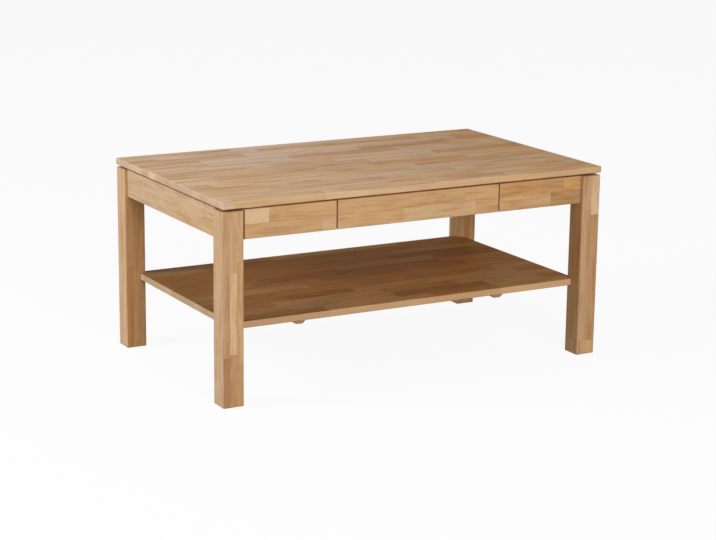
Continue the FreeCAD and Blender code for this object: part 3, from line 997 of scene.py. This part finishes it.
@dataclass(frozen=True)
class Plywood:
    """Birch plywood with its grain along Y: a peeled veneer on each face and thin layers at the edges."""

    layer: float = 0.001
    light: Level = (216, 188, 148)
    dark: Level = (176, 138, 96)
    fibre_tint: Level = (222, 202, 176)
    wave_share: float = 0.30
    fibre_share: float = 0.30
    layer_share: float = 0.75
    specular: float = 0.35

    FIGURE = Speckle((9.0, 1.4, 9.0), 4.0, 0.55, 1.2)
    WAVES = 14.0
    WAVE_LIMITS = (0.55, 1.0)
    FIBRES = Speckle((900.0, 25.0, 900.0), 3.0, 0.6)
    FIBRE_LIMITS = (0.45, 0.75)
    FACE_LIMITS = (0.3, 0.6)
    SMOOTH, FIBRE_DULL, EDGE_DULL = 0.42, 0.18, 0.15
    RELIEF_DEPTH, RELIEF = 0.0003, 0.2

    def make(self, name: str) -> bpy.types.Material:
        """Mix the material.

        Args:
            name: The material's name.

        Returns:
            The material.
        """
        bench = Bench(name)
        place = bench.place()
        upward = bench.facing()[Axis.Z.value]
        waves = (self.FIGURE.draw(bench, place) * self.WAVES).fraction()
        fibres = self.FIBRES.draw(bench, place)
        wave_share = bench.step(waves, *self.WAVE_LIMITS) * self.wave_share
        fibre_share = bench.step(fibres, *self.FIBRE_LIMITS) * self.fibre_share
        layers = (place[Axis.Z.value] / (2 * self.layer)).fraction().over(HALF)
        edge = 1 - bench.step(upward.size(), *self.FACE_LIMITS)
        colour = bench.between(wave_share, self.light, self.dark)
        colour = bench.blend(fibre_share, colour, linear(self.fibre_tint), "MULTIPLY")
        colour = bench.blend(edge * layers * self.layer_share, colour, linear(self.dark))
        return bench.finish(
            Base_Color=colour,
            Roughness=fibres * self.FIBRE_DULL + edge * self.EDGE_DULL + self.SMOOTH,
            Normal=bench.relief(fibres, self.RELIEF_DEPTH, self.RELIEF),
            Specular_IOR_Level=self.specular,
        )


@dataclass(frozen=True)
class ZincSteel:
    """Bright zinc on steel: soft patches, fine scratches and a slight blue cast."""

    bright: Level = (206, 208, 210)
    dull: Level = (168, 171, 174)

    PATCHES = Speckle((420.0, 420.0, 420.0), 3.0, 0.6)
    PATCH_LIMITS = (0.35, 0.70)
    SCRATCHES = Speckle((2600.0, 300.0, 2600.0), 2.0, 0.6)
    SMOOTH, PATCH_DULL, SCRATCH_DULL = 0.16, 0.22, 0.14
    RELIEF_DEPTH, RELIEF = 0.0001, 0.15

    def make(self, name: str) -> bpy.types.Material:
        """Mix the material.

        Args:
            name: The material's name.

        Returns:
            The material.
        """
        bench = Bench(name)
        place = bench.place()
        patches = self.PATCHES.draw(bench, place)
        scratches = self.SCRATCHES.draw(bench, place)
        return bench.finish(
            Base_Color=bench.between(bench.step(patches, *self.PATCH_LIMITS), self.bright, self.dull),
            Metallic=1.0,
            Roughness=patches * self.PATCH_DULL + scratches * self.SCRATCH_DULL + self.SMOOTH,
            Normal=bench.relief(scratches, self.RELIEF_DEPTH, self.RELIEF),
        )


@dataclass(frozen=True)
class Nylon:
    """Brown moulded nylon, dulled by the floor."""

    body: Level = (112, 84, 60)
    dust: Level = (150, 128, 106)
    dust_share: float = 0.6

    CLOUD = Speckle((260.0, 260.0, 260.0), 4.0, 0.6)
    CLOUD_LIMITS = (0.42, 0.75)
    PITS = Speckle((2400.0, 2400.0, 2400.0), 2.0)
    SMOOTH, PIT_DULL, CLOUD_DULL = 0.32, 0.2, 0.2
    RELIEF_DEPTH, RELIEF = 0.0002, 0.25

    def make(self, name: str) -> bpy.types.Material:
        """Mix the material.

        Args:
            name: The material's name.

        Returns:
            The material.
        """
        bench = Bench(name)
        place = bench.place()
        cloud = self.CLOUD.draw(bench, place)
        pits = self.PITS.draw(bench, place)
        dust = bench.step(cloud, *self.CLOUD_LIMITS) * self.dust_share
        return bench.finish(
            Base_Color=bench.between(dust, self.body, self.dust),
            Roughness=pits * self.PIT_DULL + cloud * self.CLOUD_DULL + self.SMOOTH,
            Normal=bench.relief(pits, self.RELIEF_DEPTH, self.RELIEF),
        )


@dataclass
class TableTop:
    """The top board: fifteen rows of staves along the table."""

    stave_width: float = 0.04
    stave_length: float = 0.25
    seed: float = 3.0
    accents: tuple[Accent, ...] = (
        Accent(0.093, 0.180, Tone.FAWN),
        Accent(0.370, 0.053, Tone.FAWN),
        Accent(0.330, -0.080, Tone.GOLDEN),
        Accent(0.410, 0.220, Tone.HONEY),
        Accent(0.025, -0.040, Tone.FAWN),
        Accent(0.045, 0.110, Tone.FAWN),
        Accent(-0.280, -0.210, Tone.ROSY),
        Accent(0.265, 0.085, Tone.CREAM),
        Accent(0.240, -0.230, Tone.CREAM),
        Accent(-0.400, -0.280, Tone.STRAW),
        Accent(-0.200, -0.280, Tone.PALE),
        Accent(0.050, -0.280, Tone.CREAM),
        Accent(0.220, -0.280, Tone.PALE),
        Accent(0.420, -0.280, Tone.PALE),
    )

    def dress(self) -> None:
        """Give the top its wood."""
        staves = RandomStaves(Axis.X, Axis.Y, self.seed, self.stave_width, self.stave_length, self.accents)
        dress_board("table_top", TOP, staves)


@dataclass(frozen=True)
class Leg:
    """One leg: its corner, the two tones of painted light and shade that its left and right faces lie
    between, its layers from the left.
    """

    corner: str
    side_light_shade_tones: tuple[Tone, Tone]
    layers: Rows


@dataclass
class Legs:
    """Four square legs, each glued up from two or three upright layers."""

    seed: float = 11.0
    # How much the legs' left and right faces take their own tones of painted light and shade.
    side_light_shade_share: float = 0.9
    legs: tuple[Leg, ...] = (
        Leg("front_left", (Tone.PALE, Tone.STRAW), (
            (Stave(0.0, Tone.NUT), Stave(0.116, Tone.FAWN)),
            (Stave(0.0, Tone.TAN), Stave(0.122, Tone.STRAW), Stave(0.307, Tone.GOLDEN)),
            (Stave(0.0, Tone.TAN), Stave(0.098, Tone.GOLDEN), Stave(0.330, Tone.FAWN)),
        )),
        Leg("front_right", (Tone.HONEY, Tone.GOLDEN), (
            (Stave(0.0, Tone.FAWN), Stave(0.036, Tone.FAWN)),
            (Stave(0.0, Tone.GOLDEN), Stave(0.036, Tone.TAN), Stave(0.348, Tone.PALE)),
        )),
        # The deeper HONEY and AMBER staves on this leg's front are partly painted shade.
        Leg("rear_left", (Tone.PALE, Tone.STRAW), (
            (Stave(0.0, Tone.AMBER), Stave(0.205, Tone.HONEY)),
            (Stave(0.0, Tone.HONEY), Stave(0.170, Tone.HONEY), Stave(0.330, Tone.HONEY)),
            (Stave(0.0, Tone.HONEY), Stave(0.225, Tone.HONEY)),
        )),
        Leg("rear_right", (Tone.HONEY, Tone.GOLDEN), (
            (Stave(0.0, Tone.HONEY), Stave(0.240, Tone.GOLDEN)),
            (Stave(0.0, Tone.GOLDEN), Stave(0.150, Tone.AMBER)),
            (Stave(0.0, Tone.HONEY), Stave(0.290, Tone.NUT)),
        )),
    )

    def dress(self) -> None:
        """Give each leg its own wood."""
        for index, leg in enumerate(self.legs):
            finish = replace(OILED, side_light_shade_share=self.side_light_shade_share, side_light_shade_tones=leg.side_light_shade_tones)
            staves = ListedStaves(Axis.Z, Axis.X, self.seed + index, leg.layers)
            dress_board(f"leg_{leg.corner}", finish, staves)


@dataclass
class Aprons:
    """The rails round the frame: two side aprons, the rear apron and the fixed front panels."""

    row_height: float = 0.033
    stave_length: float = 0.24
    side_seed: float = 21.0
    rear_seed: float = 23.0
    left_seed: float = 31.0
    right_seed: float = 32.0
    # How strongly the front panels are drawn darker at their ends beside the legs: painted shade.
    left_end_shade: float = 1.0
    right_end_shade: float = 0.4
    left_rows: Rows = (
        (Stave(-0.45, Tone.GOLDEN), Stave(-0.253, Tone.STRAW)),
        (Stave(-0.45, Tone.PALE), Stave(-0.384, Tone.GOLDEN)),
    )
    right_rows: Rows = (
        (Stave(0.215, Tone.GOLDEN), Stave(0.36, Tone.TAN)),
        (Stave(0.215, Tone.HONEY), Stave(0.332, Tone.TAN), Stave(0.396, Tone.HONEY)),
    )

    def dress(self) -> None:
        """Give the rails their wood, and the front panels painted shade at their ends where they meet the
        legs.
        """
        for index, side in enumerate(SIDES):
            seed = self.side_seed + index
            staves = RandomStaves(Axis.Y, Axis.Z, seed, self.row_height, self.stave_length)
            dress_board(f"side_apron_{side}", CALM, staves)
        rear = RandomStaves(Axis.X, Axis.Z, self.rear_seed, self.row_height, self.stave_length)
        dress_board("rear_apron", RAIL, rear)
        left = ListedStaves(Axis.X, Axis.Z, self.left_seed, self.left_rows)
        dress_board("front_panel_left", replace(RAIL, low_end_shade_share=self.left_end_shade), left)
        right = ListedStaves(Axis.X, Axis.Z, self.right_seed, self.right_rows)
        dress_board("front_panel_right", replace(RAIL, high_end_shade_share=self.right_end_shade), right)


@dataclass
class LowerShelf:
    """The shelf board and the two battens under it."""

    stave_width: float = 0.041
    stave_length: float = 0.23
    seed: float = 41.0
    batten_seed: float = 42.0
    # Partly painted light and shade: the RUSSET staves darken the middle rows, the left end and the back
    # right, where shade falls, and the HONEY staves lighten rows in the lit front half.
    accents: tuple[Accent, ...] = (
        Accent(-0.250, -0.245, Tone.RUSSET),
        Accent(0.250, -0.245, Tone.HONEY),
        Accent(-0.150, -0.204, Tone.HONEY),
        Accent(-0.005, -0.204, Tone.RUSSET),
        Accent(0.400, -0.204, Tone.AMBER),
        Accent(-0.070, -0.163, Tone.HONEY),
        Accent(0.380, -0.163, Tone.HONEY),
        Accent(-0.228, -0.123, Tone.RUSSET),
        Accent(-0.060, -0.123, Tone.HONEY),
        Accent(0.380, -0.082, Tone.HONEY),
        Accent(0.168, 0.000, Tone.RUSSET),
        Accent(-0.060, 0.000, Tone.RUSSET),
        Accent(0.080, 0.041, Tone.RUSSET),
        Accent(-0.150, 0.041, Tone.RUSSET),
        Accent(0.360, 0.082, Tone.RUSSET),
        Accent(0.360, 0.123, Tone.RUSSET),
    )

    def dress(self) -> None:
        """Give the shelf and its battens their wood."""
        staves = RandomStaves(Axis.X, Axis.Y, self.seed, self.stave_width, self.stave_length, self.accents)
        dress_board("lower_shelf", SHELF, staves)
        for index, side in enumerate(SIDES):
            # A dark AMBER tone for the battens: painted shade under the shelf.
            batten = OnePiece(Axis.Y, Axis.X, self.batten_seed + index, Tone.AMBER)
            dress_board(f"shelf_batten_{side}", BATTEN, batten)


@dataclass
class Drawer:
    """The drawer: a front of two rows of staves on a box of planed wood with a plywood bottom."""

    front_seed: float = 51.0
    side_seed: float = 52.0
    back_seed: float = 54.0
    stop_seed: float = 56.0
    front_rows: Rows = (
        (Stave(-0.214, Tone.GOLDEN), Stave(-0.043, Tone.STRAW), Stave(0.15, Tone.GOLDEN)),
        (Stave(-0.214, Tone.GOLDEN), Stave(-0.030, Tone.GOLDEN), Stave(0.12, Tone.GOLDEN)),
    )

    def dress(self) -> None:
        """Give the drawer's pieces their finishes."""
        dress_board("drawer_front", RAIL, ListedStaves(Axis.X, Axis.Z, self.front_seed, self.front_rows))
        for index, side in enumerate(SIDES):
            dress_board(f"drawer_side_{side}", PLANED, OnePiece(Axis.Y, Axis.Z, self.side_seed + index))
            dress_board(f"drawer_stop_{side}", PLANED, OnePiece(Axis.X, Axis.Z, self.stop_seed + index))
        dress_board("drawer_back", PLANED, OnePiece(Axis.X, Axis.Z, self.back_seed))
        dress("drawer_bottom", Plywood().make("drawer_bottom_plywood"))


@dataclass
class InnerFrame:
    """The planed pieces inside the frame: guides, runners, stops, rail, cleats and corner blocks."""

    seed: float = 61.0
    lengthwise_pairs: tuple[str, ...] = ("drawer_guide", "drawer_runner", "side_cleat")
    crosswise_pairs: tuple[str, ...] = ("closing_stop", "front_cleat")
    crosswise_pieces: tuple[str, ...] = ("cross_rail", "rear_cleat")

    def dress(self) -> None:
        """Give the inner pieces their wood, each with the grain along its length."""
        runs = [(f"{kind}_{side}", Axis.Y, Axis.Z) for kind in self.lengthwise_pairs for side in SIDES]
        runs += [(f"{kind}_{side}", Axis.X, Axis.Z) for kind in self.crosswise_pairs for side in SIDES]
        runs += [(piece, Axis.X, Axis.Z) for piece in self.crosswise_pieces]
        runs += [(f"corner_block_{end}_{side}", Axis.Z, Axis.X) for end in ENDS for side in SIDES]
        for index, (name, along, across) in enumerate(runs):
            dress_board(name, PLANED, OnePiece(along, across, self.seed + index))


@dataclass
class Fixings:
    """Dowels, screws, bolts and glides."""

    seed: float = 91.0
    dowels: tuple[str, ...] = ("frame", "guide", "shelf", "drawer_front")

    def dress(self) -> None:
        """Give the fixings their finishes."""
        for index, name in enumerate(self.dowels):
            dress_board(f"{name}_dowels", PLANED, OnePiece(Axis.Y, Axis.X, self.seed + index, Tone.PALE))
        steel = ZincSteel().make("zinc_steel")
        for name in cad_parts:
            if name.endswith("_screws") or name.startswith(("hanger_", "bolt_")):
                dress(name, steel)
        nylon = Nylon().make("glide_nylon")
        for end in ENDS:
            for side in SIDES:
                dress(f"foot_glide_{end}_{side}", nylon)


@dataclass(frozen=True)
class Lamp:
    """A soft lamp that faces the table: its place, its size and its power in watts."""

    name: str
    place: tuple[float, float, float]
    width: float
    height: float
    power: float

    AIM = (0.0, 0.0, 0.3)

    def hang(self) -> None:
        """Hang the lamp."""
        light = bpy.data.lights.new(self.name, "AREA")
        light.shape = "RECTANGLE"
        light.size = self.width
        light.size_y = self.height
        light.energy = self.power
        lamp = bpy.data.objects.new(self.name, light)
        place = Vector(self.place)
        turn = (place - Vector(self.AIM)).to_track_quat("Z", "Y").to_matrix().to_4x4()
        lamp.matrix_world = Matrix.Translation(place) @ turn
        bpy.context.scene.collection.objects.link(lamp)


@dataclass
class Studio:
    """A pale floor, soft lamps and the camera."""

    floor_half: float = 12.0
    camera_place: tuple[float, float, float] = (-2.23593, -3.99333, 1.31189)
    camera_yaw: float = -29.2876
    camera_pitch: float = 13.6774
    camera_roll: float = 0.6953
    lens: float = 97.452
    sensor: float = 36.0
    sky_level: float = 0.22
    floor_light_level: Level = (175, 175, 175)
    floor_eye_level: Level = (236, 236, 236)
    floor_white_share: float = 0.93
    floor_roughness: float = 0.9
    lamps: tuple[Lamp, ...] = (
        Lamp("left_lamp", (-3.88, 0.35, 2.55), 1.8, 1.6, 130.0),
        Lamp("front_lamp", (-0.86, -5.41, 1.87), 1.8, 3.0, 228.0),
    )

    def white_to_the_eye(self, tree: bpy.types.NodeTree) -> Wire:
        """Tell the rays that look at the backdrop, straight or in a mirror or glass, from those that light.

        Args:
            tree: The node tree.

        Returns:
            1 for a ray that looks, else 0.
        """
        path = tree.nodes.new("ShaderNodeLightPath")
        kinds = ("Camera", "Glossy", "Transmission")
        straight, mirror, glass = (Wire(tree, path.outputs[f"Is {kind} Ray"]) for kind in kinds)
        return straight.most(mirror).most(glass)

    def lay_floor(self) -> None:
        """Lay the floor, white to the eye but for the table's shadow."""
        half = self.floor_half
        corners = [(-half, -half, 0), (half, -half, 0), (half, half, 0), (-half, half, 0)]
        mesh = bpy.data.meshes.new("floor")
        mesh.from_pydata(corners, [], [tuple(range(len(corners)))])
        floor = bpy.data.objects.new("floor", mesh)
        bpy.context.scene.collection.objects.link(floor)
        bench = Bench("floor_paper")
        tree = bench.tree
        seen = self.white_to_the_eye(tree)
        paper = bench.between(seen, self.floor_light_level, self.floor_eye_level)
        bench.finish(Base_Color=paper, Roughness=self.floor_roughness, Specular_IOR_Level=0.0)
        glow = bench.add("ShaderNodeEmission", {"Color": WHITE, "Strength": 1.0})
        mixed = bench.add("ShaderNodeMixShader", {"Fac": seen * self.floor_white_share})
        for shader, socket in zip((bench.surface, glow), mixed.inputs[1:]):
            tree.links.new(shader.outputs[0], socket)
        tree.links.new(mixed.outputs[0], tree.nodes["Material Output"].inputs["Surface"])
        mesh.materials.append(bench.material)

    def hang_sky(self) -> None:
        """Hang an even sky, white where it is seen and softer where it lights."""
        world = bpy.data.worlds.new("studio")
        world.use_nodes = True
        tree = world.node_tree
        seen = self.white_to_the_eye(tree)
        background = tree.nodes["Background"]
        background.inputs["Color"].default_value = WHITE
        plug(tree, background.inputs["Strength"], seen * (1 - self.sky_level) + self.sky_level)
        bpy.context.scene.world = world

    def set_camera(self) -> None:
        """Set the camera at the photograph's viewing angle."""
        yaw, pitch, roll = (math.radians(a) for a in (self.camera_yaw, self.camera_pitch, self.camera_roll))
        look = Vector((-math.sin(yaw) * math.cos(pitch), math.cos(yaw) * math.cos(pitch), -math.sin(pitch)))
        level = look.cross(Vector((0, 0, 1))).normalized()
        upright = level.cross(look)
        right = level * math.cos(roll) + upright * math.sin(roll)
        up = upright * math.cos(roll) - level * math.sin(roll)
        turn = Matrix((right, up, -look)).transposed().to_4x4()
        lens = bpy.data.cameras.new("camera")
        lens.lens = self.lens
        lens.sensor_width = self.sensor
        camera = bpy.data.objects.new("camera", lens)
        camera.matrix_world = Matrix.Translation(Vector(self.camera_place)) @ turn
        bpy.context.scene.collection.objects.link(camera)
        bpy.context.scene.camera = camera

    def build(self) -> None:
        """Set up the whole studio."""
        bpy.context.scene.view_settings.view_transform = "Standard"
        self.lay_floor()
        self.hang_sky()
        for lamp in self.lamps:
            lamp.hang()
        self.set_camera()


def main() -> None:
    """Dress the table piece by piece, then set up the studio."""
    logging.basicConfig(level=logging.INFO, format="%(message)s")
    for part in (TableTop(), Legs(), Aprons(), LowerShelf(), Drawer(), InnerFrame(), Fixings()):
        LOG.info("%s", type(part).__name__)
        part.dress()
    Studio().build()


if __name__ == "__main__":
    main()
